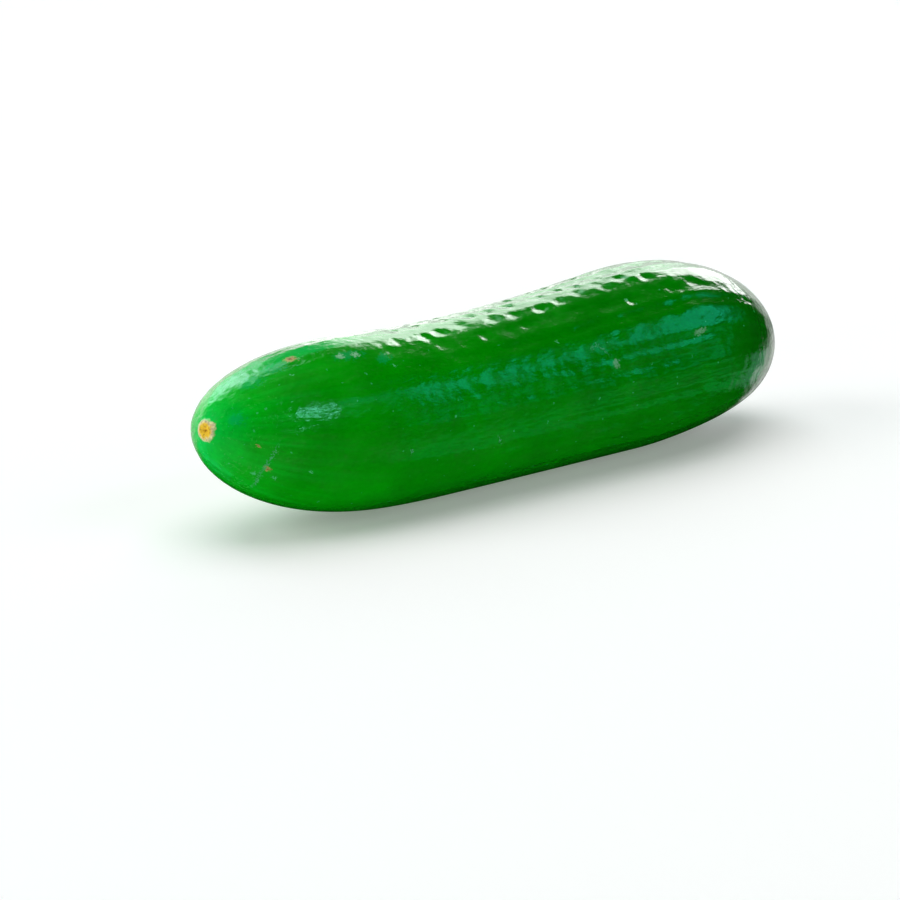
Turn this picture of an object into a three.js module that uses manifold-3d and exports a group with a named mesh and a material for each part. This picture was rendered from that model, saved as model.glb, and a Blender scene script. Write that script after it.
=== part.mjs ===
// A whole mini cucumber lying on its belly, as one solid.
// Millimetres, +Z up. The fruit runs along X, blossom end at -X and stem end at +X, and rests on z = 0.
import * as THREE from "three";
import { mergeVertices } from "three/addons/utils/BufferGeometryUtils.js";
import Module from "manifold-3d";

// Driving dimensions of the fruit.
const LENGTH = 150; // from blossom tip to stem tip
const MEAN_RADIUS = 18;
const STEM_SWELL = 0.078; // share of the radius gained at the stem end and lost at the other
const WAIST = 0.034; // share of the radius lost at mid-length and gained at both ends
const BLOSSOM_CAP = 44.4; // length over which the blossom end rounds off
const BLOSSOM_BLUNTNESS = 2.32; // 2 is an ellipse, and more is blunter
const STEM_CAP = 44.1;
const STEM_BLUNTNESS = 2;

// How the fruit bends. The middle of its belly stays level.
const NOSE_LIFT = 6.1; // rise of the blossom tip
const NOSE_LIFT_START = 19; // from mid-length towards the blossom end
const STEM_DROP = 6.8; // fall of the stem tip
const STEM_DROP_START = 37.5; // from mid-length towards the stem end
const SIDE_BEND = 1; // sideways sweep of the tips from the middle

// Relief on the skin. Heights are above or below the smooth fruit.
const LOBES = 3; // the three chambers inside leave a softly three-sided section
const LOBE_HEIGHT = 0.3;
const LOBE_PHASE = 0.7;
const RIBS = 10;
const RIB_HEIGHT = 0.16;
const RIB_SHARE_AT_NOSE = 0.3;
const RIBS_START = 50; // from the blossom tip: the ribs grow from here
const RIBS_FULL = 115;
const RIBS_FADE = 45; // length before the stem tip in which they die out
const DIMPLE_ROWS = 26;
const DIMPLE_TURN = -0.0785; // radians from angle 0 to the first row
const DIMPLE_PITCH = 6.2; // along a row
const DIMPLE_DEPTH = 0.34;
const DIMPLE_HALF_LENGTH = 2.7;
const DIMPLE_HALF_WIDTH = 1.9;
const DIMPLE_JITTER = 0.28; // share of the pitch
const SMALLEST_DIMPLE = 0.45; // share of the depth
const SHORTEST_DIMPLE = 0.7; // share of the length, and the longest is as much over it
const DIMPLE_SHARE_AT_SIDE = 0.3; // they are deepest along the top
const DEEPER_FROM = 0.5; // height over the middle line, as a share of the radius
const DEEPEST_FROM = 0.92;
const DIMPLES_START = 30; // from the blossom tip: the nose is smooth
const DIMPLES_FULL = 60;
const DIMPLES_FADE = 42; // from the stem tip: they die out between here
const DIMPLES_END = 10; // and here
const BELLY_SMOOTH = 0.45; // radians each side of the belly line without relief
const BELLY_BLEND = 0.4; // radians over which the relief returns

// Scars at the two ends, and the flat spot that the fruit rests on.
const BLOSSOM_SCAR_RADIUS = 2.3;
const BLOSSOM_SCAR_SHIFT = -1.3; // sideways from the tip
const BLOSSOM_SCAR_RISE = 0.4;
const BLOSSOM_PIT_DEPTH = 0.2;
const STEM_HOLLOW_RADIUS = 6;
const STEM_HOLLOW_DEPTH = 1.1;
const STEM_PLUG_RADIUS = 3.2; // dry cut stalk standing in the hollow
const STEM_PLUG_RISE = 1;
const STEM_PLUG_EDGE = 1.3; // width of the plug's rounded edge
const FLAT_DEPTH = 0.35; // skin pressed flat under the fruit

// Fineness of the mesh.
const SEGMENTS = 2 * DIMPLE_ROWS; // a line of corners runs down each row of dimples
const RINGS = 106;
const OUTLINE_STEPS = 4000; // used to space the rings evenly along the outline
const MERGE_DISTANCE = 1e-4;
const FLOOR_BLOCK = 400; // side of the block that cuts the flat spot

const HALF = LENGTH / 2;
const BELLY_ANGLE = -Math.PI / 2; // angle 0 is +Y, and +Z is a quarter turn on

const smooth = (low, high, value) => THREE.MathUtils.smoothstep(value, low, high);
const within = (value) => THREE.MathUtils.clamp(value, 0, 1);

// Radius without its rounded ends, at x from mid-length.
function bodyRadius(x) {
  const share = x / HALF;
  return MEAN_RADIUS * (1 + STEM_SWELL * share - WAIST * Math.cos(Math.PI * share));
}

// Radius with its rounded ends.
function fruitRadius(x) {
  const nose = within(1 - (x + HALF) / BLOSSOM_CAP);
  const stem = within(1 - (HALF - x) / STEM_CAP);
  return (
    bodyRadius(x) *
    Math.sqrt(1 - nose ** BLOSSOM_BLUNTNESS) *
    Math.sqrt(1 - stem ** STEM_BLUNTNESS)
  );
}

// Outline of the straight fruit from tip to tip: radius across, distance along X up.
class FruitOutline extends THREE.Curve {
  constructor() {
    super();
    this.arcLengthDivisions = OUTLINE_STEPS;
  }

  getPoint(t, target = new THREE.Vector2()) {
    const x = -HALF * Math.cos(Math.PI * t); // closes up towards the tips, where the outline turns fastest
    return target.set(fruitRadius(x), x);
  }
}

// Middle line of the bent fruit, with t from 0 at the blossom tip to 1 at the stem tip.
class FruitAxis extends THREE.Curve {
  getPoint(t, target = new THREE.Vector3()) {
    const x = LENGTH * (t - 0.5);
    const lift = NOSE_LIFT * within((-x - NOSE_LIFT_START) / (HALF - NOSE_LIFT_START)) ** 2;
    const drop = STEM_DROP * within((x - STEM_DROP_START) / (HALF - STEM_DROP_START)) ** 2;
    return target.set(x, SIDE_BEND * (x / HALF) ** 2, bodyRadius(x) + lift - drop);
  }
}

// The same number between 0 and 1 each time for one dimple.
function draw(row, place, salt) {
  const wave = Math.sin(row * 12.9898 + place * 78.233 + salt * 37.719) * 43758.5453;
  return wave - Math.floor(wave);
}

// Depth of the shallow dimples in staggered rows along the fruit.
function dimpleDepth(along, angle, radius) {
  const rowAngle = (2 * Math.PI) / DIMPLE_ROWS;
  const turned = angle - DIMPLE_TURN;
  const nearestRow = Math.round(turned / rowAngle);
  let depth = 0;
  for (let row = nearestRow - 1; row <= nearestRow + 1; row++) {
    const wrapped = (row + DIMPLE_ROWS) % DIMPLE_ROWS;
    const stagger = (wrapped % 2) * 0.5;
    const nearestPlace = Math.round(along / DIMPLE_PITCH - stagger);
    for (let place = nearestPlace - 1; place <= nearestPlace + 1; place++) {
      const shift = (draw(wrapped, place, 1) - 0.5) * 2 * DIMPLE_JITTER;
      const turn = (draw(wrapped, place, 2) - 0.5) * 2 * DIMPLE_JITTER;
      const size = THREE.MathUtils.lerp(SMALLEST_DIMPLE, 1, draw(wrapped, place, 3));
      const reach = THREE.MathUtils.lerp(SHORTEST_DIMPLE, 2 - SHORTEST_DIMPLE, draw(wrapped, place, 4));
      const fromMiddle = along - (place + stagger + shift) * DIMPLE_PITCH;
      const lengthwise = fromMiddle / (DIMPLE_HALF_LENGTH * reach);
      const crosswise = ((turned - (row + turn) * rowAngle) * radius) / DIMPLE_HALF_WIDTH;
      const inside = within(1 - lengthwise ** 2 - crosswise ** 2);
      depth += size * inside ** 2;
    }
  }
  return DIMPLE_DEPTH * depth;
}

// Share of the dimples' depth that is left at a place.
function dimpleSpread(along, angle) {
  const fromStem = LENGTH - along;
  const lengthwise = smooth(DIMPLES_START, DIMPLES_FULL, along) * smooth(DIMPLES_END, DIMPLES_FADE, fromStem);
  const upper = smooth(DEEPER_FROM, DEEPEST_FROM, Math.sin(angle));
  return lengthwise * THREE.MathUtils.lerp(DIMPLE_SHARE_AT_SIDE, 1, upper);
}

// Height of the relief, where along is the distance from the blossom tip.
function reliefHeight(along, angle, radius) {
  const fromTop = THREE.MathUtils.euclideanModulo(angle - BELLY_ANGLE, 2 * Math.PI) - Math.PI;
  const clearOfBelly = smooth(BELLY_SMOOTH, BELLY_SMOOTH + BELLY_BLEND, Math.PI - Math.abs(fromTop));
  const roundness = within(radius / MEAN_RADIUS); // nothing but the scars is left at the tips
  const lobes = LOBE_HEIGHT * Math.cos(LOBES * angle + LOBE_PHASE);
  const growth = THREE.MathUtils.lerp(RIB_SHARE_AT_NOSE, 1, smooth(RIBS_START, RIBS_FULL, along));
  const ribs = RIB_HEIGHT * growth * smooth(0, RIBS_FADE, LENGTH - along) * Math.cos(RIBS * angle);
  const dimples = dimpleSpread(along, angle) * dimpleDepth(along, angle, radius);
  return clearOfBelly * roundness * (lobes + ribs - dimples);
}

// Corky ring round a small pit, left by the flower.
function blossomScar(radius) {
  const share = within(radius / BLOSSOM_SCAR_RADIUS);
  return BLOSSOM_SCAR_RISE * Math.sin(Math.PI * share) - BLOSSOM_PIT_DEPTH * within(1 - 2 * share);
}

// Hollow with a low plug in it, where the stalk was cut.
function stemScar(radius) {
  const hollow = STEM_HOLLOW_DEPTH * smooth(0, STEM_HOLLOW_RADIUS, STEM_HOLLOW_RADIUS - radius);
  const plug = STEM_PLUG_RISE * smooth(0, STEM_PLUG_EDGE, STEM_PLUG_RADIUS - radius);
  return plug - hollow;
}

// Turns a lathe of the outline into the fruit: relief first, then the bend.
function makeSkin() {
  const outline = new FruitOutline();
  const axis = new FruitAxis();
  const skin = new THREE.LatheGeometry(outline.getSpacedPoints(RINGS), SEGMENTS);
  const position = skin.getAttribute("position");
  const up = new THREE.Vector3(0, 0, 1);
  for (let ring = 0; ring <= RINGS; ring++) {
    const [radius, x] = outline.getPointAt(ring / RINGS).toArray();
    const slope = outline.getTangentAt(ring / RINGS);
    const along = x + HALF;
    const tangent = axis.getTangent(along / LENGTH);
    const side = new THREE.Vector3().crossVectors(up, tangent).normalize();
    const top = new THREE.Vector3().crossVectors(tangent, side);
    const middle = axis.getPoint(along / LENGTH);
    for (let segment = 0; segment <= SEGMENTS; segment++) {
      const angle = ((segment % SEGMENTS) / SEGMENTS) * 2 * Math.PI + DIMPLE_TURN;
      const fromScar = Math.hypot(radius * Math.cos(angle) - BLOSSOM_SCAR_SHIFT, radius * Math.sin(angle));
      const scar = x < 0 ? blossomScar(fromScar) : stemScar(radius);
      const height = scar + reliefHeight(along, angle, radius);
      const across = radius > 0 ? radius + height * slope.y : 0; // a tip stays one point
      const point = middle
        .clone()
        .addScaledVector(tangent, -height * slope.x)
        .addScaledVector(side, across * Math.cos(angle))
        .addScaledVector(top, across * Math.sin(angle));
      position.setXYZ(segment * (RINGS + 1) + ring, point.x, point.y, point.z);
    }
  }
  return skin;
}

const wasm = await Module();
wasm.setup();

// A closed three.js geometry as a solid that can be cut.
function solidOf(geometry) {
  const bare = new THREE.BufferGeometry();
  bare.setAttribute("position", geometry.getAttribute("position"));
  bare.setIndex(geometry.index);
  const merged = mergeVertices(bare, MERGE_DISTANCE);
  const corners = merged.index.array;
  const kept = [];
  for (let i = 0; i < corners.length; i += 3) {
    const [a, b, c] = corners.slice(i, i + 3);
    if (a !== b && b !== c && c !== a) kept.push(a, b, c); // the tips leave triangles with no area
  }
  const vertProperties = new Float32Array(merged.getAttribute("position").array);
  const triVerts = new Uint32Array(kept);
  return new wasm.Manifold(new wasm.Mesh({ numProp: 3, vertProperties, triVerts }));
}

// A cut solid as a three.js geometry again.
function geometryOf(solid) {
  const { vertProperties, triVerts } = solid.getMesh();
  const geometry = new THREE.BufferGeometry();
  geometry.setAttribute("position", new THREE.BufferAttribute(vertProperties, 3));
  geometry.setIndex(new THREE.BufferAttribute(triVerts, 1));
  geometry.computeVertexNormals();
  return geometry;
}

// Cuts the flat spot under the belly and stands the fruit on z = 0, centred on the origin.
function restOnFloor(skin) {
  const block = new THREE.BoxGeometry(FLOOR_BLOCK, FLOOR_BLOCK, FLOOR_BLOCK);
  block.translate(0, 0, FLAT_DEPTH - FLOOR_BLOCK / 2);
  const rested = geometryOf(solidOf(skin).subtract(solidOf(block)));
  rested.computeBoundingBox();
  const middle = rested.boundingBox.getCenter(new THREE.Vector3());
  return rested.translate(-middle.x, -middle.y, -FLAT_DEPTH);
}

const skinGreen = new THREE.MeshStandardMaterial({ color: 0x04760c, roughness: 0.28, metalness: 0 });
const cucumber = new THREE.Mesh(restOnFloor(makeSkin()), skinGreen);
cucumber.name = "cucumber";

const part = new THREE.Group();
part.add(cucumber);

export default part;
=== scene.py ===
"""Blender scene of one whole mini cucumber lying on its belly.

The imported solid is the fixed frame. The fruit is turned again from the same sizes on a finer mesh, with its
relief, and dressed in a waxy green skin. Millimetres in the sizes, metres in Blender.
"""

from __future__ import annotations

import logging
import math
from dataclasses import dataclass, field
from enum import Enum, IntEnum
from typing import Any

import bmesh
import bpy
import numpy as np
from mathutils import Euler, Matrix, Vector

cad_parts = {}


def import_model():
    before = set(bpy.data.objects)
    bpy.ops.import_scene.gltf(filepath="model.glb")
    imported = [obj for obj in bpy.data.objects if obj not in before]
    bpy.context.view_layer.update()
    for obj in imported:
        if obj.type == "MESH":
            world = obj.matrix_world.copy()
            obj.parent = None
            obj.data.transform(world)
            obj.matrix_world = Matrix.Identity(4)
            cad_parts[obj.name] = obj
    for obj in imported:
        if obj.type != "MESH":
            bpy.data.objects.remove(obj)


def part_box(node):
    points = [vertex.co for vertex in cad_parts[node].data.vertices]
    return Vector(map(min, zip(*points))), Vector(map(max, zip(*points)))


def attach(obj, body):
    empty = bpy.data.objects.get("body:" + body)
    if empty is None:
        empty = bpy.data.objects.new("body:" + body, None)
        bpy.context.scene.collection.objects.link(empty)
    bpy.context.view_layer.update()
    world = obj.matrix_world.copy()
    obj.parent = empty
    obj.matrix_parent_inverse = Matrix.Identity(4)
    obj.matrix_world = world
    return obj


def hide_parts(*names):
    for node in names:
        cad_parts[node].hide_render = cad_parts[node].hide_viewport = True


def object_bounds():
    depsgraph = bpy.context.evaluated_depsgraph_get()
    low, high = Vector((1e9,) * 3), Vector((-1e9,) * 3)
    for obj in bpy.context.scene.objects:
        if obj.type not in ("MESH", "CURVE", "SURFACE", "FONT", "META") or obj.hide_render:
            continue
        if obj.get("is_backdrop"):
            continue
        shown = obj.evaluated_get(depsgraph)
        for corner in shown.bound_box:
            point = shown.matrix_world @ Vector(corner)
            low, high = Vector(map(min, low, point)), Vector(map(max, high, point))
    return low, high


LOG = logging.getLogger("cucumber")
MM = 0.001
IMAGE_SIDE = 900  # pixels of the square picture
SENSOR_WIDTH = 36.0  # mm
# Nearly all values of a noise lie between these.
NOISE_LOW, NOISE_HIGH = 0.3, 0.7
# Sockets of a colour Mix node, by number because their names repeat.
FACTOR, UNDER, OVER, MIXED = 0, 6, 7, 2
# Steps and height of a steep sine, whose fraction scatters numbers between 0 and 1.
ROW_STEP, PLACE_STEP, PURPOSE_STEP = 12.9898, 78.233, 37.719
SINE_HEIGHT = 43758.5453


def linear(hex_colour: str) -> tuple[float, float, float, float]:
    """Turns an sRGB hex colour into linear light.

    Args:
        hex_colour: six hex digits, with or without a leading hash.

    Returns:
        Red, green, blue and full opacity.
    """
    digits = hex_colour.lstrip("#")
    shares = [int(digits[i : i + 2], 16) / 255 for i in (0, 2, 4)]
    red, green, blue = (s / 12.92 if s <= 0.04045 else ((s + 0.055) / 1.055) ** 2.4 for s in shares)
    return red, green, blue, 1.0


def add_node(
    tree: bpy.types.NodeTree, kind: str, inputs: dict[Any, Any] | None = None, **settings: Any
) -> Any:
    """Adds a node with its settings and its links.

    Args:
        tree: node tree that gets the node.
        kind: Blender's name for the kind of node.
        inputs: value or output socket for each input, by the input's name or number.
        **settings: the node's own properties.

    Returns:
        The new node.
    """
    node = tree.nodes.new(kind)
    for name, value in settings.items():
        setattr(node, name, value)
    for name, value in (inputs or {}).items():
        if isinstance(value, bpy.types.NodeSocket):
            tree.links.new(value, node.inputs[name])
        else:
            node.inputs[name].default_value = value
    return node


def add_object(name: str, data: bpy.types.ID) -> bpy.types.Object:
    """Puts an object into the scene.

    Args:
        name: the object's name.
        data: its mesh, light or camera.

    Returns:
        The object.
    """
    thing = bpy.data.objects.new(name, data)
    bpy.context.scene.collection.objects.link(thing)
    return thing


def finished_mesh(name: str, shape: bmesh.types.BMesh) -> bpy.types.Mesh:
    """Makes a mesh of a modelled shape.

    Args:
        name: the mesh's name.
        shape: the shape, which is used up.

    Returns:
        The mesh.
    """
    mesh = bpy.data.meshes.new(name)
    shape.to_mesh(mesh)
    shape.free()
    return mesh


def bearing(azimuth: float, elevation: float) -> Vector:
    """Unit vector by its angles in degrees: azimuth 0 points to -Y and 90 to +X."""
    turn, rise = math.radians(azimuth), math.radians(elevation)
    return Vector((math.sin(turn) * math.cos(rise), -math.cos(turn) * math.cos(rise), math.sin(rise)))


def smooth_step(low: float, high: float, value: np.ndarray) -> np.ndarray:
    """Rises smoothly from 0 at low to 1 at high."""
    share = np.clip((value - low) / (high - low), 0, 1)
    return share * share * (3 - 2 * share)


class DimpleDraw(IntEnum):
    """What a number is drawn for, so that a dimple gets another one for each."""

    SHIFT = 1
    TURN = 2
    SIZE = 3
    REACH = 4


@dataclass(frozen=True)
class FruitForm:
    """The fruit's shape in millimetres: x runs from mid-length, blossom end at -x, and angle 0 is +Y."""

    length: float = 150
    mean_radius: float = 18
    stem_swell: float = 0.078
    waist: float = 0.034
    blossom_cap: float = 44.4
    blossom_bluntness: float = 2.32
    stem_cap: float = 44.1
    stem_bluntness: float = 2
    nose_lift: float = 6.1
    nose_lift_start: float = 19
    stem_drop: float = 6.8
    stem_drop_start: float = 37.5
    side_bend: float = 1
    lobes: int = 3
    lobe_height: float = 0.3
    lobe_phase: float = 0.7
    ribs: int = 10
    rib_height: float = 0.16
    rib_share_at_nose: float = 0.3
    ribs_start: float = 50
    ribs_full: float = 115
    ribs_fade: float = 45
    dimple_rows: int = 26
    dimple_turn: float = -0.0785
    dimple_pitch: float = 6.2
    dimple_depth: float = 0.34
    dimple_half_length: float = 2.7
    dimple_half_width: float = 1.9
    dimple_jitter: float = 0.28
    smallest_dimple: float = 0.45
    shortest_dimple: float = 0.7
    dimple_share_at_side: float = 0.3
    deeper_from: float = 0.5
    deepest_from: float = 0.92
    dimples_start: float = 30
    dimples_full: float = 60
    dimples_fade: float = 42
    dimples_end: float = 10
    belly_smooth: float = 0.45
    belly_blend: float = 0.4
    blossom_scar_radius: float = 2.3
    blossom_scar_rise: float = 0.4
    blossom_pit_depth: float = 0.2
    blossom_scar_shift: float = -1.3
    stem_hollow_radius: float = 6
    stem_hollow_depth: float = 1.1
    stem_plug_radius: float = 3.2
    stem_plug_rise: float = 1
    stem_plug_edge: float = 1.3
    flat_depth: float = 0.35
    outline_steps: int = 4000

    # Hair-thin ribs that only the sheen shows, too fine for the solid: count round the fruit and height.
    fine_ribs: tuple[tuple[int, float], ...] = ((23, 0.05), (31, 0.075), (44, 0.03))
    fine_rib_sway: float = 1.5

    @property
    def half(self) -> float:
        """Half of the fruit's length."""
        return self.length / 2

    def body_radius(self, x: np.ndarray) -> np.ndarray:
        """Radius without the rounded ends."""
        share = x / self.half
        return self.mean_radius * (1 + self.stem_swell * share - self.waist * np.cos(np.pi * share))

    def radius(self, x: np.ndarray) -> np.ndarray:
        """Gives the radius with the rounded ends.

        Args:
            x: distance from mid-length.

        Returns:
            Radius in millimetres.
        """
        nose = np.clip(1 - (x + self.half) / self.blossom_cap, 0, 1)
        stem = np.clip(1 - (self.half - x) / self.stem_cap, 0, 1)
        rounding = (1 - nose**self.blossom_bluntness) * (1 - stem**self.stem_bluntness)
        return self.body_radius(x) * np.sqrt(rounding)

    def walk(self) -> tuple[np.ndarray, np.ndarray]:
        """Walks the outline from the blossom tip to the stem tip.

        Returns:
            x of each step, and the length of outline up to it.
        """
        x = -self.half * np.cos(np.linspace(0, np.pi, self.outline_steps))
        radius = self.radius(x)
        return x, np.concatenate([[0], np.cumsum(np.hypot(np.diff(x), np.diff(radius)))])

    def outline(self, shares: np.ndarray) -> tuple[np.ndarray, np.ndarray]:
        """Gives outline points at even steps along the outline itself.

        Args:
            shares: share of the outline's length from the blossom tip, 0 to 1.

        Returns:
            x and radius of each point.
        """
        x, run = self.walk()
        x_even = np.interp(shares * run[-1], run, x)
        return x_even, self.radius(x_even)

    def axis(self, x: np.ndarray) -> np.ndarray:
        """Gives the middle line of the bent fruit.

        Args:
            x: distance from mid-length.

        Returns:
            Rows of x, y and z.
        """
        lift = np.clip((-x - self.nose_lift_start) / (self.half - self.nose_lift_start), 0, 1) ** 2
        drop = np.clip((x - self.stem_drop_start) / (self.half - self.stem_drop_start), 0, 1) ** 2
        height = self.body_radius(x) + self.nose_lift * lift - self.stem_drop * drop
        return np.stack([x, self.side_bend * (x / self.half) ** 2, height], axis=-1)

    def bend(self, straight: np.ndarray, stations: np.ndarray) -> np.ndarray:
        """Moves points of the straight fruit to where the bent fruit has them.

        Args:
            straight: points round the X axis.
            stations: x at which each point leaves the middle line.

        Returns:
            The bent points.
        """
        step = 0.01
        middle = self.axis(stations)
        tangent = self.axis(stations + step) - self.axis(stations - step)
        tangent /= np.linalg.norm(tangent, axis=1, keepdims=True)
        side = np.cross([0.0, 0.0, 1.0], tangent)
        side /= np.linalg.norm(side, axis=1, keepdims=True)
        top = np.cross(tangent, side)
        ahead = (straight[:, 0] - stations)[:, None]
        return middle + ahead * tangent + straight[:, 1:2] * side + straight[:, 2:3] * top

    @staticmethod
    def draw(row: np.ndarray, place: np.ndarray, purpose: DimpleDraw) -> np.ndarray:
        """The same number between 0 and 1 each time for one dimple."""
        wave = np.sin(row * ROW_STEP + place * PLACE_STEP + purpose * PURPOSE_STEP) * SINE_HEIGHT
        return wave - np.floor(wave)

    def dimples(self, along: np.ndarray, angle: np.ndarray, radius: np.ndarray) -> np.ndarray:
        """Depth of the shallow dimples in staggered rows.

        Args:
            along: distance from the blossom tip.
            angle: angle round the fruit.
            radius: radius of the fruit there.

        Returns:
            Depth in millimetres.
        """
        row_angle = 2 * np.pi / self.dimple_rows
        angle = angle - self.dimple_turn
        nearest_row = np.round(angle / row_angle)
        depth = np.zeros_like(along)
        for row in (nearest_row - 1, nearest_row, nearest_row + 1):
            wrapped = np.mod(row, self.dimple_rows)
            stagger = np.mod(wrapped, 2) * 0.5
            nearest_place = np.round(along / self.dimple_pitch - stagger)
            for place in (nearest_place - 1, nearest_place, nearest_place + 1):
                shift = (self.draw(wrapped, place, DimpleDraw.SHIFT) - 0.5) * 2 * self.dimple_jitter
                turn = (self.draw(wrapped, place, DimpleDraw.TURN) - 0.5) * 2 * self.dimple_jitter
                longer = 2 * self.draw(wrapped, place, DimpleDraw.REACH)
                reach = self.dimple_half_length * (
                    self.shortest_dimple + (1 - self.shortest_dimple) * longer
                )
                lengthwise = (along - (place + stagger + shift) * self.dimple_pitch) / reach
                crosswise = (angle - (row + turn) * row_angle) * radius / self.dimple_half_width
                larger = self.draw(wrapped, place, DimpleDraw.SIZE)
                size = self.smallest_dimple + (1 - self.smallest_dimple) * larger
                depth += size * np.clip(1 - lengthwise**2 - crosswise**2, 0, 1) ** 2
        return self.dimple_depth * depth

    def relief(self, x: np.ndarray, angle: np.ndarray, radius: np.ndarray) -> np.ndarray:
        """Height of the lobes, ribs, dimples and scars over the smooth fruit.

        Args:
            x: distance from mid-length.
            angle: angle round the fruit.
            radius: radius of the smooth fruit there.

        Returns:
            Height in millimetres.
        """
        along = x + self.half
        from_belly = np.pi - np.abs(np.mod(angle + np.pi / 2, 2 * np.pi) - np.pi)
        clear = smooth_step(self.belly_smooth, self.belly_smooth + self.belly_blend, from_belly)
        roundness = np.clip(radius / self.mean_radius, 0, 1)
        growth = self.rib_share_at_nose + (1 - self.rib_share_at_nose) * smooth_step(
            self.ribs_start, self.ribs_full, along
        )
        growth *= smooth_step(0, self.ribs_fade, self.length - along)
        lobes = self.lobe_height * np.cos(self.lobes * angle + self.lobe_phase)
        ribs = self.rib_height * np.cos(self.ribs * angle)
        for count, height in self.fine_ribs:
            ribs += height * np.cos(count * angle + self.fine_rib_sway * np.sin(along / count))
        spread = smooth_step(self.dimples_start, self.dimples_full, along)
        spread *= smooth_step(self.dimples_end, self.dimples_fade, self.length - along)
        upper = smooth_step(self.deeper_from, self.deepest_from, np.sin(angle))
        spread *= self.dimple_share_at_side + (1 - self.dimple_share_at_side) * upper
        skin = clear * roundness * (lobes + growth * ribs - spread * self.dimples(along, angle, radius))
        from_scar = np.hypot(radius * np.cos(angle) - self.blossom_scar_shift, radius * np.sin(angle))
        return skin + np.where(x < 0, self.blossom_scar(from_scar), self.stem_scar(radius))

    def blossom_scar(self, radius: np.ndarray) -> np.ndarray:
        """Raises the corky ring round a small pit, left by the flower.

        Args:
            radius: distance from the middle of the scar.

        Returns:
            Height in millimetres.
        """
        share = np.clip(radius / self.blossom_scar_radius, 0, 1)
        ring = self.blossom_scar_rise * np.sin(np.pi * share)
        return ring - self.blossom_pit_depth * np.clip(1 - 2 * share, 0, 1)

    def stem_scar(self, radius: np.ndarray) -> np.ndarray:
        """Sinks the hollow with a low plug in it, where the stalk was.

        Args:
            radius: distance from the middle of the hollow.

        Returns:
            Height in millimetres.
        """
        rim = self.stem_hollow_radius
        hollow = self.stem_hollow_depth * smooth_step(0, rim, rim - radius)
        plug = self.stem_plug_rise * smooth_step(0, self.stem_plug_edge, self.stem_plug_radius - radius)
        return plug - hollow


class MarkKind(Enum):
    """What left a mark on the skin, with a painted teal sheen in the bloom marks."""

    # Wax bloom, painted in the teal of a sheen.
    BLOOM_AND_SHEEN = "bloom_and_sheen"
    CORK = "cork"
    SCAB = "scab"
    SCRATCH = "scratch"
    FRECKLE = "freckle"


@dataclass(frozen=True)
class SkinMark:
    """One mark, in millimetres and degrees.

    Its run is how far it is from the blossom tip over the skin, and its angle is where it is round the fruit.
    """

    kind: MarkKind
    run: float
    angle: float
    half_length: float
    half_width: float
    turn: float = 0.0

    def frame(self, form: FruitForm) -> tuple[Vector, Euler, Vector]:
        """Places the mark on the unrolled skin.

        Args:
            form: the fruit's shape.

        Returns:
            Middle, turn and half sizes, for the inverse of a mapping.
        """
        angle = math.radians(self.angle)
        out = Vector((0, math.cos(angle), math.sin(angle)))
        round_way = Vector((0, -math.sin(angle), math.cos(angle)))
        turn = math.radians(self.turn)
        lengthwise = Vector((1, 0, 0)) * math.cos(turn) + round_way * math.sin(turn)
        columns = Matrix((lengthwise, out.cross(lengthwise), out)).transposed()
        x, run = form.walk()
        radius = form.radius(np.interp([self.run], run, x))[0]
        # The unrolled skin has the mean radius all along, so a mark on a thin place is drawn wider there.
        stretch = form.mean_radius / radius
        long_stretch = math.hypot(math.cos(turn), math.sin(turn) * stretch)
        wide_stretch = math.hypot(math.sin(turn), math.cos(turn) * stretch)
        middle = Vector((self.run, 0, 0)) + out * form.mean_radius
        sizes = Vector((self.half_length * long_stretch, self.half_width * wide_stretch, form.mean_radius))
        return middle, columns.to_euler(), sizes


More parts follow.
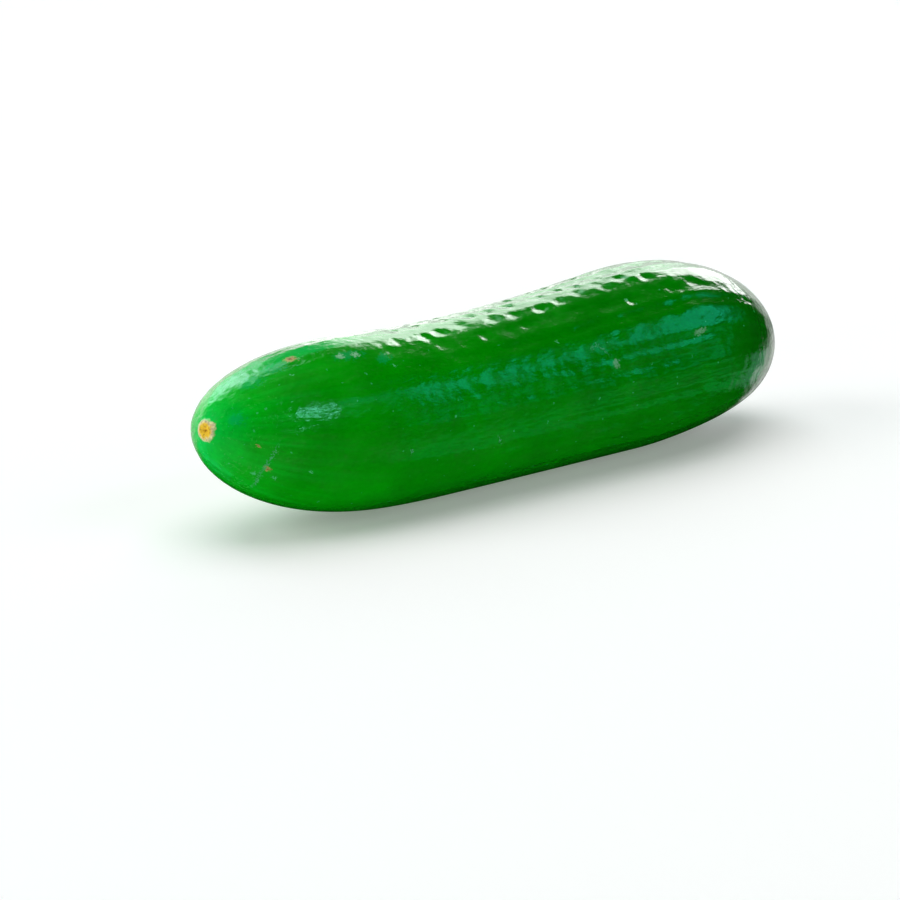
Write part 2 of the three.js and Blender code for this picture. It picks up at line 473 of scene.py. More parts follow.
@dataclass(frozen=True)
class WaxySkin:
    """Cucumber skin: smooth, thin and waxed by nature.

    The eye sees a deep green under the wax, and the light lies on it as a sheen. Sizes are in millimetres.
    """

    # Green by the share of the way over the skin from the blossom tip. It deepens to the stem as the fruit's
    # own colour; the lighter teal-mint at the blossom tip is partly that and partly a painted reflection.
    greens_and_tip_reflection: tuple[tuple[float, str], ...] = (
        (0.0, "#02E060"),
        (0.03, "#01D43A"),
        (0.07, "#00B814"),
        (0.13, "#00A402"),
        (0.22, "#00A000"),
        (0.36, "#009400"),
        (0.5, "#008E00"),
        (0.75, "#008200"),
        (0.9, "#006800"),
        (1.0, "#005000"),
    )
    pale_streak: str = "#04DC34"
    # Teal of the bloom marks: partly wax bloom, partly a painted sheen.
    bloom_and_sheen: str = "#0ABC74"
    freckle: str = "#50D48C"
    scab: str = "#8CC8A0"
    scratch: str = "#4CC084"
    cork: str = "#C2A462"
    cork_heart: str = "#7C4C18"
    scar_rim: str = "#F2E8B0"
    scar_yellow: str = "#FFD030"
    scar_heart: str = "#D48C10"
    plug_tan: str = "#B59A62"
    plug_rim: str = "#5E4A24"
    ior: float = 1.45

    # Roughness of the wax, where it is rubbed or flecked, of scars and marks, and what the nose adds.
    roughness: float = 0.11
    rubbed_roughness: float = 0.16
    fleck_roughness: float = 0.24
    scar_roughness: float = 0.7
    nose_roughness: float = 0.05
    nose_rough_to: float = 8
    nose_rough_end: float = 30

    # Pale streaks: sizes, noise values between which they show, and strength at the nose and on the body.
    streak_length: float = 45
    streak_width: float = 2.2
    streak_from: float = 0.46
    streak_full: float = 0.72
    streak_at_nose: float = 0.6
    streak_on_body: float = 0.05
    streaks_strong_to: float = 4
    streaks_faint_from: float = 36

    # Blotches and the stipple on them: sizes and shares of the green.
    blotch_size: float = 11
    blotch_dark: float = 0.72
    blotch_light: float = 0.97
    stipple_size: float = 0.8
    stipple_share: float = 0.3

    # Pores: the cells that they lie in, how uneven they are, and their reach and edge as shares of a cell.
    pore_cell: float = 1.5
    pore_grain: float = 0.6
    pore_stray: float = 0.9
    poreless_share: float = 0.5
    pore_reach: float = 0.19
    pore_edge: float = 0.08
    pore_strength: float = 0.6

    # Single marks: how ragged they are, and where they start and are full as shares of their half sizes.
    mark_grain: float = 0.5
    mark_stray: float = 2.8
    mark_edge: float = 1.3
    mark_full: float = 0.45
    heart_crumbling: float = 2.4
    heart_edge: float = 1.75
    heart_full: float = 1.45

    # Cork at the tips: how ragged its rings are, and its crumbs.
    cork_grain: float = 1.1
    blossom_stray: float = 1.6
    stem_stray: float = 1.3
    crumb_size: float = 0.5
    crumb_dark: float = 0.65
    crumb_light: float = 1.35

    # Rubbed patches and the flecks in them: sizes, and noise values between which they show.
    rub_length: float = 9
    rub_width: float = 3.5
    rub_from: float = 0.42
    rub_full: float = 0.66
    fleck_size: float = 0.6
    fleck_rub_share: float = 0.5
    fleck_from: float = 0.81
    fleck_full: float = 0.92

    # Grain and waves in the wax, and how deep or high things are.
    grain_size: float = 0.85
    grain_draw: float = 0.45
    swell_size: float = 3.2
    grain_height: float = 0.075
    nose_grain_height: float = 0.1
    swell_height: float = 0.16
    nose_swell_height: float = 0.25
    scratch_depth: float = 0.04
    crumb_height: float = 0.35

    marks: tuple[SkinMark, ...] = (
        # The bloom marks are patches of painted teal sheen over wax bloom.
        SkinMark(MarkKind.BLOOM_AND_SHEEN, 7.6, 153, 1.6, 1.2),
        SkinMark(MarkKind.BLOOM_AND_SHEEN, 13.4, 110, 2.4, 1.6, 20),
        SkinMark(MarkKind.BLOOM_AND_SHEEN, 19.0, 106, 3.0, 1.4),
        SkinMark(MarkKind.BLOOM_AND_SHEEN, 35.5, 115, 3.4, 1.2),
        SkinMark(MarkKind.BLOOM_AND_SHEEN, 43.0, 122, 2.0, 1.0, -20),
        SkinMark(MarkKind.CORK, 23.7, 103, 1.3, 0.95, 10),
        SkinMark(MarkKind.CORK, 15.2, -150, 0.6, 0.5),
        SkinMark(MarkKind.CORK, 12.2, -172, 0.5, 0.3, 40),
        SkinMark(MarkKind.SCRATCH, 14.9, -132, 3.3, 0.19, 82),
        SkinMark(MarkKind.SCRATCH, 14.9, -160, 3.3, 0.22, 98),
        SkinMark(MarkKind.SCRATCH, 94.6, 146.4, 1.1, 0.16, -27),
        SkinMark(MarkKind.SCRATCH, 96.7, 150, 2.0, 0.16, 52),
        SkinMark(MarkKind.SCRATCH, 67.3, -168.6, 1.2, 0.18, 70),
        SkinMark(MarkKind.SCRATCH, 44.8, -172, 0.8, 0.2, 60),
        SkinMark(MarkKind.SCAB, 33.4, 114.6, 0.9, 0.7, 20),
        SkinMark(MarkKind.SCAB, 37.0, 115.5, 0.9, 0.6),
        SkinMark(MarkKind.SCAB, 98.9, 161, 0.8, 0.9),
        SkinMark(MarkKind.SCAB, 122.5, 156, 1.7, 0.5, -6),
        SkinMark(MarkKind.FRECKLE, 13.4, -138.6, 0.45, 0.4),
        SkinMark(MarkKind.FRECKLE, 17.4, -142.5, 0.4, 0.35),
        SkinMark(MarkKind.FRECKLE, 44.6, 130, 0.38, 0.32),
        SkinMark(MarkKind.FRECKLE, 21.2, 120, 0.3, 0.25),
        SkinMark(MarkKind.FRECKLE, 86.3, 137, 0.3, 0.25),
        SkinMark(MarkKind.FRECKLE, 108.9, 121.5, 0.45, 0.4),
        SkinMark(MarkKind.FRECKLE, 23.4, -156, 0.3, 0.3),
    )

    def material(self, form: FruitForm) -> bpy.types.Material:
        """Makes the skin's material.

        Args:
            form: the fruit's shape, for the places of its marks.

        Returns:
            The material.
        """
        material = bpy.data.materials.new("waxy_cucumber_skin")
        material.use_nodes = True
        tree = material.node_tree
        tree.nodes.clear()
        place = add_node(tree, "ShaderNodeAttribute", attribute_name="skin_place").outputs["Vector"]
        colour = self.ground(tree, place, form)
        colour, spoiled, depth = self.marked(tree, place, colour, form)
        colour, scarred, crumbs = self.scarred(tree, place, colour, form)
        rough, height = self.wax(tree, place)
        dull = add_node(tree, "ShaderNodeMath", {0: spoiled, 1: scarred}, operation="MAXIMUM").outputs[0]
        roughness = add_node(
            tree, "ShaderNodeMapRange", {"Value": dull, "To Min": rough, "To Max": self.scar_roughness}
        ).outputs["Result"]
        for layer, tallness in ((depth, -self.scratch_depth), (crumbs, self.crumb_height)):
            height = add_node(
                tree, "ShaderNodeMath", {0: layer, 1: tallness, 2: height}, operation="MULTIPLY_ADD"
            ).outputs[0]
        # Heights are in millimetres, so the bump's distance is one of them.
        bump = add_node(tree, "ShaderNodeBump", {"Strength": 1.0, "Distance": MM, "Height": height})
        shader = add_node(
            tree,
            "ShaderNodeBsdfPrincipled",
            {
                "Base Color": colour,
                "Roughness": roughness,
                "IOR": self.ior,
                "Normal": bump.outputs["Normal"],
            },
        )
        add_node(tree, "ShaderNodeOutputMaterial", {"Surface": shader.outputs["BSDF"]})
        return material

    def ground(self, tree: bpy.types.NodeTree, place: Any, form: FruitForm) -> Any:
        """Green that deepens to the stem and turns teal-mint at the blossom tip, partly as a painted
        reflection, with pale streaks that fan from the blossom end, and freckles.

        Args:
            tree: the skin's node tree.
            place: socket of the place on the unrolled skin.
            form: the fruit's shape.

        Returns:
            Colour socket.
        """
        run = add_node(tree, "ShaderNodeSeparateXYZ", {0: place}).outputs["X"]
        total = float(form.walk()[1][-1])
        share = add_node(tree, "ShaderNodeMath", {0: run, 1: total}, operation="DIVIDE").outputs[0]
        # The ramp's teal-mint tip is partly a painted reflection laid into the colour.
        ramp = add_node(tree, "ShaderNodeValToRGB", {0: share})
        elements = ramp.color_ramp.elements
        while len(elements) < len(self.greens_and_tip_reflection):
            elements.new(0.5)
        for element, (position, colour) in zip(elements, self.greens_and_tip_reflection):
            element.position = position
            element.color = linear(colour)
        # Streaks: long along the fruit, about a millimetre wide.
        long_step, wide_step = 1 / self.streak_length, 1 / self.streak_width
        drawn = add_node(
            tree, "ShaderNodeMapping", {"Vector": place, "Scale": (long_step, wide_step, wide_step)}
        ).outputs["Vector"]
        streak = add_node(
            tree, "ShaderNodeTexNoise", {"Vector": drawn, "Scale": 1.0, "Detail": 3.0, "Roughness": 0.6}
        ).outputs["Fac"]
        near_nose = add_node(
            tree,
            "ShaderNodeMapRange",
            {
                "Value": run,
                "From Min": self.streaks_strong_to,
                "From Max": self.streaks_faint_from,
                "To Min": self.streak_at_nose,
                "To Max": self.streak_on_body,
            },
            interpolation_type="SMOOTHSTEP",
        ).outputs["Result"]
        paleness = add_node(
            tree,
            "ShaderNodeMapRange",
            {
                "Value": streak,
                "From Min": self.streak_from,
                "From Max": self.streak_full,
                "To Min": 0.0,
                "To Max": near_nose,
            },
        ).outputs["Result"]
        streaked = add_node(
            tree,
            "ShaderNodeMix",
            {FACTOR: paleness, UNDER: ramp.outputs["Color"], OVER: linear(self.pale_streak)},
            data_type="RGBA",
        ).outputs[MIXED]
        # Blotches a finger wide take the evenness off the green.
        body = add_node(tree, "ShaderNodeTexCoord").outputs["Object"]
        blotch = add_node(
            tree, "ShaderNodeTexNoise", {"Vector": body, "Scale": 1 / (self.blotch_size * MM), "Detail": 2.0}
        ).outputs["Fac"]
        shade = add_node(
            tree,
            "ShaderNodeMapRange",
            {
                "Value": blotch,
                "From Min": NOISE_LOW,
                "From Max": NOISE_HIGH,
                "To Min": self.blotch_dark,
                "To Max": self.blotch_light,
            },
        ).outputs["Result"]
        # A stipple under a millimetre lies on them.
        stipple = add_node(
            tree, "ShaderNodeTexNoise", {"Vector": body, "Scale": 1 / (self.stipple_size * MM), "Detail": 2.0}
        ).outputs["Fac"]
        shade = add_node(
            tree, "ShaderNodeMath", {0: stipple, 1: self.stipple_share, 2: shade}, operation="MULTIPLY_ADD"
        ).outputs[0]
        blotched = add_node(
            tree, "ShaderNodeVectorMath", {0: streaked, "Scale": shade}, operation="SCALE"
        ).outputs[0]
        # Freckles: pale pores up to half a millimetre across, some four millimetres apart, with uneven edges.
        uneven = add_node(
            tree, "ShaderNodeTexNoise", {"Vector": body, "Scale": 1 / (self.pore_grain * MM), "Detail": 2.0}
        ).outputs["Color"]
        strayed = add_node(
            tree,
            "ShaderNodeVectorMath",
            {0: uneven, 1: (self.pore_stray * MM,) * 3, 2: body},
            operation="MULTIPLY_ADD",
        ).outputs[0]
        cells = add_node(
            tree,
            "ShaderNodeTexVoronoi",
            {"Vector": strayed, "Scale": 1 / (self.pore_cell * MM), "Randomness": 1.0},
        )
        chance = add_node(tree, "ShaderNodeSeparateColor", {0: cells.outputs["Color"]}).outputs[0]
        reach = add_node(
            tree,
            "ShaderNodeMapRange",
            {
                "Value": chance,
                "From Min": self.poreless_share,
                "From Max": 1.0,
                "To Min": 0.0,
                "To Max": self.pore_reach,
            },
        ).outputs["Result"]
        inside = add_node(
            tree, "ShaderNodeMath", {0: reach, 1: cells.outputs["Distance"]}, operation="SUBTRACT"
        ).outputs[0]
        freckled = add_node(
            tree,
            "ShaderNodeMapRange",
            {
                "Value": inside,
                "From Min": 0.0,
                "From Max": self.pore_edge,
                "To Min": 0.0,
                "To Max": self.pore_strength,
            },
        ).outputs["Result"]
        return add_node(
            tree,
            "ShaderNodeMix",
            {FACTOR: freckled, UNDER: blotched, OVER: linear(self.freckle)},
            data_type="RGBA",
        ).outputs[MIXED]

    def marked(
        self, tree: bpy.types.NodeTree, place: Any, colour: Any, form: FruitForm
    ) -> tuple[Any, Any, Any]:
        """Lays the single marks over the green: bloom with a painted teal sheen in it, scratches, healed
        scabs, cork spots and freckles.

        Args:
            tree: the skin's node tree.
            place: socket of the place on the unrolled skin.
            colour: socket of the colour under the marks.
            form: the fruit's shape.

        Returns:
            Sockets of the colour, of how dull the marks are, and of how deep the scratches are.
        """
        # A ragged place gives every mark an uneven edge.
        grained = add_node(
            tree, "ShaderNodeTexNoise", {"Vector": place, "Scale": 1 / self.mark_grain, "Detail": 3.0}
        )
        grain, speckle = grained.outputs["Color"], grained.outputs["Fac"]
        ragged = add_node(
            tree,
            "ShaderNodeVectorMath",
            {0: grain, 1: (self.mark_stray,) * 3, 2: place},
            operation="MULTIPLY_ADD",
        ).outputs[0]
        steady = add_node(
            tree, "ShaderNodeVectorMath", {0: ragged, 1: (self.mark_stray / 2,) * 3}, operation="SUBTRACT"
        ).outputs[0]
        # Colour, strength and how far the speckle breaks it up.
        looks = {
            # Bloom is partly painted sheen: teal laid on as colour where the skin shines.
            MarkKind.BLOOM_AND_SHEEN: (self.bloom_and_sheen, 0.4, 3.0),
            MarkKind.SCRATCH: (self.scratch, 0.65, 0.8),
            MarkKind.SCAB: (self.scab, 0.55, 1.6),
            MarkKind.FRECKLE: (self.freckle, 0.8, 0.0),
            MarkKind.CORK: (self.cork, 0.95, 0.4),
        }
        dull: Any = None
        masks: dict[MarkKind, Any] = {}
        for kind, (tint, strength, crumbling) in looks.items():
            nearest: Any = None
            for mark in (m for m in self.marks if m.kind is kind):
                middle, turn, sizes = mark.frame(form)
                local = add_node(
                    tree,
                    "ShaderNodeMapping",
                    {"Vector": steady, "Location": middle, "Rotation": turn, "Scale": sizes},
                    vector_type="TEXTURE",
                ).outputs["Vector"]
                away = add_node(tree, "ShaderNodeVectorMath", {0: local}, operation="LENGTH").outputs["Value"]
                if nearest is not None:
                    away = add_node(
                        tree, "ShaderNodeMath", {0: nearest, 1: away}, operation="MINIMUM"
                    ).outputs[0]
                nearest = away
            broken = add_node(
                tree, "ShaderNodeMath", {0: speckle, 1: crumbling, 2: nearest}, operation="MULTIPLY_ADD"
            ).outputs[0]
            edge = crumbling / 2
            mask = add_node(
                tree,
                "ShaderNodeMapRange",
                {
                    "Value": broken,
                    "From Min": edge + self.mark_edge,
                    "From Max": edge + self.mark_full,
                    "To Min": 0.0,
                    "To Max": strength,
                },
                interpolation_type="SMOOTHSTEP",
            ).outputs["Result"]
            colour = add_node(
                tree, "ShaderNodeMix", {FACTOR: mask, UNDER: colour, OVER: linear(tint)}, data_type="RGBA"
            ).outputs[MIXED]
            if kind is MarkKind.CORK:
                uneven = add_node(
                    tree,
                    "ShaderNodeMath",
                    {0: speckle, 1: self.heart_crumbling, 2: nearest},
                    operation="MULTIPLY_ADD",
                ).outputs[0]
                heart = add_node(
                    tree,
                    "ShaderNodeMapRange",
                    {"Value": uneven, "From Min": self.heart_edge, "From Max": self.heart_full},
                    interpolation_type="SMOOTHSTEP",
                ).outputs["Result"]
                colour = add_node(
                    tree,
                    "ShaderNodeMix",
                    {FACTOR: heart, UNDER: colour, OVER: linear(self.cork_heart)},
                    data_type="RGBA",
                ).outputs[MIXED]
            masks[kind] = mask
            # Bloom, partly wax and partly a painted teal sheen, keeps the wax's shine, and the other marks
            # are dull.
            if kind is MarkKind.BLOOM_AND_SHEEN:
                continue
            if dull is not None:
                mask = add_node(tree, "ShaderNodeMath", {0: dull, 1: mask}, operation="MAXIMUM").outputs[0]
            dull = mask
        return colour, dull, masks[MarkKind.SCRATCH]

    def scarred(
        self, tree: bpy.types.NodeTree, place: Any, colour: Any, form: FruitForm
    ) -> tuple[Any, Any, Any]:
        """Colours the cork at both tips.

        Args:
            tree: the skin's node tree.
            place: socket of the place on the unrolled skin.
            colour: socket of the colour under the scars.
            form: the fruit's shape.

        Returns:
            Sockets of the colour, of how corky the skin is and of how high its crumbs are.
        """
        total = float(form.walk()[1][-1])
        body = add_node(tree, "ShaderNodeTexCoord").outputs["Object"]
        grain = add_node(
            tree, "ShaderNodeTexNoise", {"Vector": body, "Scale": 1 / (self.cork_grain * MM), "Detail": 3.0}
        ).outputs["Fac"]
        run = add_node(tree, "ShaderNodeSeparateXYZ", {0: place}).outputs["X"]
        from_blossom = add_node(
            tree, "ShaderNodeAttribute", attribute_name="from_blossom_scar"
        ).outputs["Fac"]
        from_blossom = add_node(
            tree,
            "ShaderNodeMath",
            {0: grain, 1: self.blossom_stray, 2: from_blossom},
            operation="MULTIPLY_ADD",
        ).outputs[0]
        from_stem = add_node(tree, "ShaderNodeMath", {0: total, 1: run}, operation="SUBTRACT").outputs[0]
        from_stem = add_node(
            tree, "ShaderNodeMath", {0: grain, 1: self.stem_stray, 2: from_stem}, operation="MULTIPLY_ADD"
        ).outputs[0]
        # Where each ring of cork starts and is full, from the middle of its scar, and its colour.
        rings = (
            (from_blossom, 3.2, 2.6, self.scar_rim),
            (from_blossom, 2.6, 1.9, self.scar_yellow),
            (from_blossom, 1.2, 0.8, self.scar_heart),
            (from_stem, 5.2, 4.0, self.plug_rim),
            (from_stem, 3.9, 3.2, self.plug_tan),
        )
        corky: Any = None
        for away, edge, full, tint in rings:
            mask = add_node(
                tree,
                "ShaderNodeMapRange",
                {"Value": away, "From Min": edge, "From Max": full},
                interpolation_type="SMOOTHSTEP",
            ).outputs["Result"]
            colour = add_node(
                tree, "ShaderNodeMix", {FACTOR: mask, UNDER: colour, OVER: linear(tint)}, data_type="RGBA"
            ).outputs[MIXED]
            if corky is not None:
                mask = add_node(tree, "ShaderNodeMath", {0: corky, 1: mask}, operation="MAXIMUM").outputs[0]
            corky = mask
        # Cork crumbles in grains about half a millimetre across.
        crumb = add_node(
            tree, "ShaderNodeTexNoise", {"Vector": body, "Scale": 1 / (self.crumb_size * MM), "Detail": 2.0}
        ).outputs["Fac"]
        shade = add_node(
            tree,
            "ShaderNodeMapRange",
            {
                "Value": crumb,
                "From Min": NOISE_LOW,
                "From Max": NOISE_HIGH,
                "To Min": self.crumb_dark,
                "To Max": self.crumb_light,
            },
        ).outputs["Result"]
        crumbly = add_node(
            tree, "ShaderNodeVectorMath", {0: colour, "Scale": shade}, operation="SCALE"
        ).outputs[0]
        colour = add_node(
            tree, "ShaderNodeMix", {FACTOR: corky, UNDER: colour, OVER: crumbly}, data_type="RGBA"
        ).outputs[MIXED]
        crumbs = add_node(tree, "ShaderNodeMath", {0: crumb, 1: corky}, operation="MULTIPLY").outputs[0]
        return colour, corky, crumbs

    def wax(self, tree: bpy.types.NodeTree, place: Any) -> tuple[Any, Any]:
        """Scuffs the wax: patches rubbed dull, low waves and a fine grain drawn out along the fruit.

        Args:
            tree: the skin's node tree.
            place: socket of the place on the unrolled skin.

        Returns:
            Sockets of the roughness and of the height in millimetres.
        """
        long_step, wide_step = 1 / self.rub_length, 1 / self.rub_width
        rubbed_place = add_node(
            tree, "ShaderNodeMapping", {"Vector": place, "Scale": (long_step, wide_step, wide_step)}
        ).outputs["Vector"]
        rubbed = add_node(
            tree, "ShaderNodeTexNoise", {"Vector": rubbed_place, "Scale": 1.0, "Detail": 3.0}
        ).outputs["Fac"]
        rough = add_node(
            tree,
            "ShaderNodeMapRange",
            {
                "Value": rubbed,
                "From Min": self.rub_from,
                "From Max": self.rub_full,
                "To Min": self.roughness,
                "To Max": self.rubbed_roughness,
            },
        ).outputs["Result"]
        # Flecks half a millimetre across, where the rubbing broke the wax.
        body = add_node(tree, "ShaderNodeTexCoord").outputs["Object"]
        speck = add_node(
            tree, "ShaderNodeTexNoise", {"Vector": body, "Scale": 1 / (self.fleck_size * MM), "Detail": 2.0}
        ).outputs["Fac"]
        patchy = add_node(
            tree, "ShaderNodeMath", {0: rubbed, 1: self.fleck_rub_share, 2: speck}, operation="MULTIPLY_ADD"
        ).outputs[0]
        rough = add_node(
            tree,
            "ShaderNodeMapRange",
            {
                "Value": patchy,
                "From Min": self.fleck_from,
                "From Max": self.fleck_full,
                "To Min": rough,
                "To Max": self.fleck_roughness,
            },
        ).outputs["Result"]
        # The blossom end, which hangs lowest and rubs most, is duller.
        run = add_node(tree, "ShaderNodeSeparateXYZ", {0: place}).outputs["X"]
        duller = add_node(
            tree,
            "ShaderNodeMapRange",
            {
                "Value": run,
                "From Min": self.nose_rough_to,
                "From Max": self.nose_rough_end,
                "To Min": self.nose_roughness,
                "To Max": 0.0,
            },
            interpolation_type="SMOOTHSTEP",
        ).outputs["Result"]
        rough = add_node(tree, "ShaderNodeMath", {0: rough, 1: duller}, operation="ADD").outputs[0]
        grain_place = add_node(
            tree, "ShaderNodeMapping", {"Vector": body, "Scale": (self.grain_draw, 1, 1)}
        ).outputs["Vector"]
        grain = add_node(
            tree,
            "ShaderNodeTexNoise",
            {"Vector": grain_place, "Scale": 1 / (self.grain_size * MM), "Detail": 3.0},
        ).outputs["Fac"]
        swell = add_node(
            tree, "ShaderNodeTexNoise", {"Vector": body, "Scale": 1 / (self.swell_size * MM), "Detail": 1.0}
        ).outputs["Fac"]
        # Grain and waves both stand higher where the wax is duller.
        wave_height = add_node(
            tree,
            "ShaderNodeMath",
            {0: duller, 1: self.nose_swell_height / self.nose_roughness, 2: self.swell_height},
            operation="MULTIPLY_ADD",
        ).outputs[0]
        waves = add_node(tree, "ShaderNodeMath", {0: swell, 1: wave_height}, operation="MULTIPLY").outputs[0]
        grain_height = add_node(
            tree,
            "ShaderNodeMath",
            {0: duller, 1: self.nose_grain_height / self.nose_roughness, 2: self.grain_height},
            operation="MULTIPLY_ADD",
        ).outputs[0]
        height = add_node(
            tree, "ShaderNodeMath", {0: grain, 1: grain_height, 2: waves}, operation="MULTIPLY_ADD"
        ).outputs[0]
        return rough, height


@dataclass
class Cucumber:
    """The fruit on a fine mesh, in the place of its solid."""

    form: FruitForm = field(default_factory=FruitForm)
    skin: WaxySkin = field(default_factory=WaxySkin)
    node: str = "cucumber"
    slot: str = "skin"
    rings: int = 380
    segments: int = 240
    merge_distance: float = 1e-5

    def turned(self) -> bpy.types.Mesh:
        """Spins the straight outline about the X axis.

        Returns:
            The smooth straight fruit, in millimetres.
        """
        shape = bmesh.new()
        ends = [shape.verts.new((x, 0, 0)) for x in (-self.form.half, self.form.half)]
        edge = shape.edges.new(ends)
        bmesh.ops.subdivide_edges(shape, edges=[edge], cuts=self.rings - 1)
        shares = np.array([v.co.x / self.form.length + 0.5 for v in shape.verts])
        for vert, x, radius in zip(shape.verts, *self.form.outline(shares)):
            vert.co = (x, radius, 0)
        bmesh.ops.spin(
            shape,
            geom=shape.verts[:] + shape.edges[:],
            cent=(0, 0, 0),
            axis=(1, 0, 0),
            angle=2 * math.pi,
            steps=self.segments,
            use_merge=True,
        )
        bmesh.ops.remove_doubles(shape, verts=shape.verts[:], dist=self.merge_distance)
        bmesh.ops.recalc_face_normals(shape, faces=shape.faces[:])
        return finished_mesh("cucumber_fruit", shape)

    def grow(self, mesh: bpy.types.Mesh) -> None:
        """Raises the relief, bends the fruit and lays it where its solid is.

        Args:
            mesh: the smooth straight fruit, changed in place.
        """
        count = len(mesh.vertices)
        straight = np.zeros(count * 3)
        normals = np.zeros(count * 3)
        mesh.vertices.foreach_get("co", straight)
        mesh.vertices.foreach_get("normal", normals)
        straight = straight.reshape(-1, 3)
        normals = normals.reshape(-1, 3)
        stations = straight[:, 0].copy()
        angle = np.arctan2(straight[:, 2], straight[:, 1])
        radius = np.hypot(straight[:, 1], straight[:, 2])
        height = self.form.relief(stations, angle, radius)
        grown = self.form.bend(straight + height[:, None] * normals, stations)
        grown[:, 2] = np.maximum(grown[:, 2], self.form.flat_depth) - self.form.flat_depth
        low, high = (np.array(corner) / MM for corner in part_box(self.node))
        grown[:, :2] += ((low + high - grown.min(axis=0) - grown.max(axis=0)) / 2)[:2]
        grown[:, 2] += low[2]
        mesh.vertices.foreach_set("co", (grown * MM).astype(np.float32).ravel())
        place = np.stack(
            [
                np.interp(stations, *self.form.walk()),
                self.form.mean_radius * np.cos(angle),
                self.form.mean_radius * np.sin(angle),
            ],
            axis=1,
        )
        attribute = mesh.attributes.new("skin_place", "FLOAT_VECTOR", "POINT")
        attribute.data.foreach_set("vector", place.astype(np.float32).ravel())
        from_scar = np.hypot(straight[:, 1] - self.form.blossom_scar_shift, straight[:, 2])
        from_scar = np.where(stations < 0, from_scar, self.form.length)
        attribute = mesh.attributes.new("from_blossom_scar", "FLOAT", "POINT")
        attribute.data.foreach_set("value", from_scar.astype(np.float32))
        mesh.shade_smooth()
        mesh.update()

    def build(self) -> bpy.types.Object:
        """Makes the fruit, dresses it and gives it its place in the frame.

        Returns:
            The fruit.
        """
        mesh = self.turned()
        self.grow(mesh)
        mesh.materials.append(self.skin.material(self.form))
        fruit = add_object("cucumber_fruit", mesh)
        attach(fruit, "root")
        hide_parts(self.node)
        return fruit


class LightUse(Enum):
    """What a light is hung for: to show in the wax, or to fill the shade."""

    SHEEN = "sheen"
    FILL = "fill"


@dataclass(frozen=True)
class SoftBox:
    """A soft area light, placed by the angles at which the fruit sees it, with its sizes in metres."""

    name: str
    azimuth: float
    elevation: float
    width: float
    height: float
    radiance: float
    tint: str = "#FFFFFF"
    distance: float = 2.4
    use: LightUse = LightUse.SHEEN

    def build(self, centre: Vector) -> bpy.types.Object:
        """Hangs the light and turns it to the fruit.

        Args:
            centre: the point that it faces.

        Returns:
            The light.
        """
        light = bpy.data.lights.new(self.name, "AREA")
        light.shape = "RECTANGLE"
        light.size = self.width
        light.size_y = self.height
        light.energy = self.radiance * math.pi * self.width * self.height
        light.color = linear(self.tint)[:3]
        lamp = add_object(self.name, light)
        back = bearing(self.azimuth, self.elevation)
        lamp.location = centre + back * self.distance
        lamp.rotation_euler = back.to_track_quat("Z", "Y").to_euler()
        lamp.visible_camera = False
        lamp.visible_diffuse = self.use is LightUse.FILL
        lamp.visible_glossy = self.use is LightUse.SHEEN
        return lamp


@dataclass(frozen=True)
class StandingCard:
    """A glowing card that stands close behind the fruit, where only the sheen shows it, in millimetres."""

    name: str
    left: float
    right: float
    low: float
    high: float
    radiance: float
    tint: str = "#FFFFFF"
    backing: str = "#050505"
    behind: float = 45
    # Share of the way from its middle to its edge at which the glow starts to fade.
    fade_from: float = 0.5

    def build(self) -> bpy.types.Object:
        """Stands the card up.

        Returns:
            The card.
        """
        shape = bmesh.new()
        shape.faces.new([shape.verts.new((x, 0, z)) for x, z in ((-1, -1), (1, -1), (1, 1), (-1, 1))])
        mesh = finished_mesh(self.name, shape)
        mesh.materials.append(self.material())
        card = add_object(self.name, mesh)
        card.location = Vector(((self.left + self.right) / 2, self.behind, (self.low + self.high) / 2)) * MM
        card.scale = Vector(((self.right - self.left) / 2, 1, (self.high - self.low) / 2)) * MM
        card.visible_camera = False
        card.visible_diffuse = False
        card.visible_shadow = False
        card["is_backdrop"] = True
        return card

    def material(self) -> bpy.types.Material:
        """Makes a glow that turns clear towards the card's edge, so that the sheen has no hard border.

        Returns:
            The material.
        """
        material = bpy.data.materials.new(f"{self.name}_glow")
        material.use_nodes = True
        tree = material.node_tree
        shader = tree.nodes["Principled BSDF"]
        shader.inputs["Base Color"].default_value = linear(self.backing)
        shader.inputs["Roughness"].default_value = 1.0
        shader.inputs["Emission Color"].default_value = linear(self.tint)
        shader.inputs["Emission Strength"].default_value = self.radiance
        place = add_node(tree, "ShaderNodeTexCoord").outputs["Object"]
        away = add_node(tree, "ShaderNodeVectorMath", {0: place}, operation="LENGTH").outputs["Value"]
        solid = add_node(
            tree,
            "ShaderNodeMapRange",
            {"Value": away, "From Min": 1.0, "From Max": self.fade_from},
            interpolation_type="SMOOTHSTEP",
        ).outputs["Result"]
        tree.links.new(solid, shader.inputs["Alpha"])
        return material


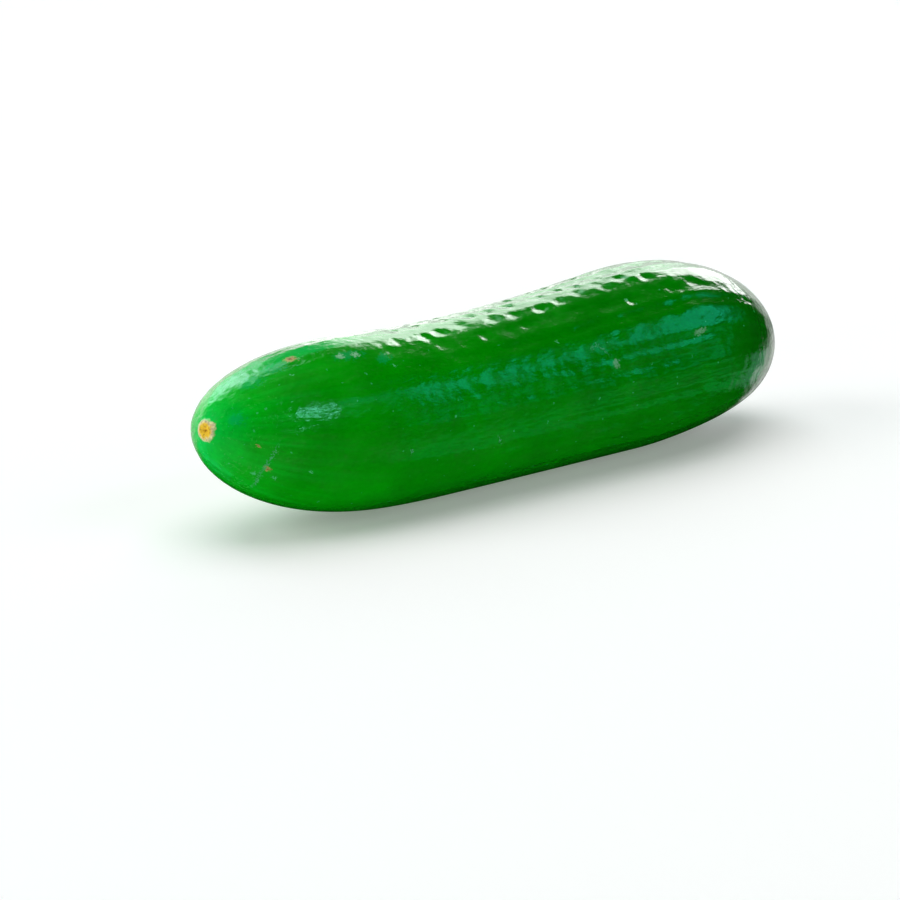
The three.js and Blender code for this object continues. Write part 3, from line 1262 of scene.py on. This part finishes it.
@dataclass
class Studio:
    """Pale floor, soft lights and the camera: degrees, metres, and the aim's shift in millimetres."""

    azimuth: float = -42.15
    elevation: float = 15.31
    distance: float = 1.0
    focal_pixels: float = 5037.2
    aim_right: float = -8.98
    aim_up: float = -12.85
    floor_side: float = 12.0
    floor_white: str = "#F4F4F4"
    floor_roughness: float = 0.8
    floor_glow: float = 0.22
    world_radiance: float = 0.0015
    # Name, azimuth, elevation, width, height, radiance and tint of each light.
    lights: tuple[SoftBox, ...] = (
        SoftBox("back_curtain", 131, 23, 0.76, 0.93, 3.3, "#F0FFF4"),
        SoftBox("back_upper", 126, 31, 0.5, 0.4, 2.0, "#F0FFF4"),
        SoftBox("far_curtain", 113, 24, 0.76, 1.2, 6.5),
        SoftBox("left_curtain", 173, 39, 1.05, 1.2, 4.0, "#D4E8FF"),
        SoftBox("left_veil", 170, 42, 2.1, 2.1, 2.8, "#B8F4E0"),
        SoftBox("left_rim", 149, 4, 0.8, 0.85, 1.4),
        SoftBox("left_low", 180, 8, 1.95, 0.95, 1.6),
        SoftBox("left_floor", 203, -40, 1.2, 1.8, 1.2, "#30FFB0"),
        SoftBox("low_card", 109, -18.5, 1.2, 0.72, 0.95),
        SoftBox("low_side", 88, -20, 0.9, 0.75, 0.55, "#A0FFDC"),
        SoftBox("low_strip", 128, 4, 1.29, 0.85, 1.2),
        SoftBox("end_rim", 109.5, -2, 0.4, 0.7, 0.75),
        SoftBox("window", 10.5, 28.5, 0.62, 0.24, 13.0, "#84FFEC"),
        SoftBox("window_trail", 30, 27.5, 0.7, 0.3, 1.0, "#30FFD8"),
        SoftBox("window_haze", 57, 24, 0.25, 0.15, 2.4, "#30FFD8", distance=0.5),
        SoftBox("window_end", 74, 22, 0.5, 0.9, 0.7, "#30FFD8"),
        SoftBox("window_low", 50, 4, 1.0, 0.3, 1.1, "#28FFA8"),
        SoftBox("table_near", 50, -14, 1.4, 0.22, 1.0, "#28FF80"),
        SoftBox("table_far", 55, -28, 1.6, 0.3, 0.9, "#28FF80"),
        SoftBox("left_fill", -112, 28, 1.6, 1.6, 3.1, use=LightUse.FILL),
        SoftBox("front_fill", 20, 32, 1.6, 1.2, 1.25, use=LightUse.FILL),
        SoftBox("ceiling", 138, 80, 3.0, 3.0, 1.85, distance=2.6, use=LightUse.FILL),
    )
    # Name, left, right, low and high edge, radiance and tint of each card.
    cards: tuple[StandingCard, ...] = (
        StandingCard("green_card", -45, 15, 45, 105, 1.2, "#30FF98"),
        StandingCard("rim_card", -150, 210, -10, 34, 0.8),
    )

    def floor(self) -> bpy.types.Object:
        """Lays the floor, matt white paper that glows faintly so that it stays white far off.

        Returns:
            The floor.
        """
        shape = bmesh.new()
        bmesh.ops.create_grid(shape, x_segments=1, y_segments=1, size=self.floor_side / 2)
        mesh = finished_mesh("studio_floor", shape)
        material = bpy.data.materials.new("white_sweep")
        material.use_nodes = True
        shader = material.node_tree.nodes["Principled BSDF"]
        shader.inputs["Base Color"].default_value = linear(self.floor_white)
        shader.inputs["Roughness"].default_value = self.floor_roughness
        shader.inputs["Emission Color"].default_value = (1, 1, 1, 1)
        shader.inputs["Emission Strength"].default_value = self.floor_glow
        mesh.materials.append(material)
        floor = add_object("studio_floor", mesh)
        floor.visible_glossy = False
        floor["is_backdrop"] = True
        return floor

    def surround(self) -> None:
        """Fills the room with a faint even light."""
        world = bpy.data.worlds.new("studio_room")
        world.use_nodes = True
        background = world.node_tree.nodes["Background"]
        background.inputs["Color"].default_value = (1, 1, 1, 1)
        background.inputs["Strength"].default_value = self.world_radiance
        bpy.context.scene.world = world

    def camera(self, centre: Vector) -> bpy.types.Object:
        """Sets the camera at the picture's viewing angle.

        Args:
            centre: middle of the fruit's box.

        Returns:
            The camera.
        """
        data = bpy.data.cameras.new("camera")
        data.sensor_width = SENSOR_WIDTH
        data.lens = SENSOR_WIDTH * self.focal_pixels / IMAGE_SIDE
        camera = add_object("camera", data)
        back = bearing(self.azimuth, self.elevation)
        right = bearing(self.azimuth + 90, 0)
        up = back.cross(right)
        aim = centre + (right * self.aim_right + up * self.aim_up) * MM
        camera.location = aim + back * self.distance
        camera.rotation_euler = back.to_track_quat("Z", "Y").to_euler()
        bpy.context.scene.camera = camera
        return camera

    def build(self, centre: Vector) -> None:
        """Makes the floor, the lights, the cards and the camera.

        Args:
            centre: middle of the fruit's box.
        """
        self.floor()
        self.surround()
        for light in self.lights:
            light.build(centre)
        for card in self.cards:
            card.build()
        self.camera(centre)
        bpy.context.scene.view_settings.view_transform = "Standard"


def main() -> None:
    """Builds the fruit and the studio, and logs how many vertices the fruit has."""
    logging.basicConfig(level=logging.INFO, format="%(name)s: %(message)s")
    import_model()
    cad_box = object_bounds()
    cucumber = Cucumber()
    fruit = cucumber.build()
    LOG.info("%s has %d vertices", fruit.name, len(fruit.data.vertices))
    Studio().build((cad_box[0] + cad_box[1]) / 2)


if __name__ == "__main__":
    main()
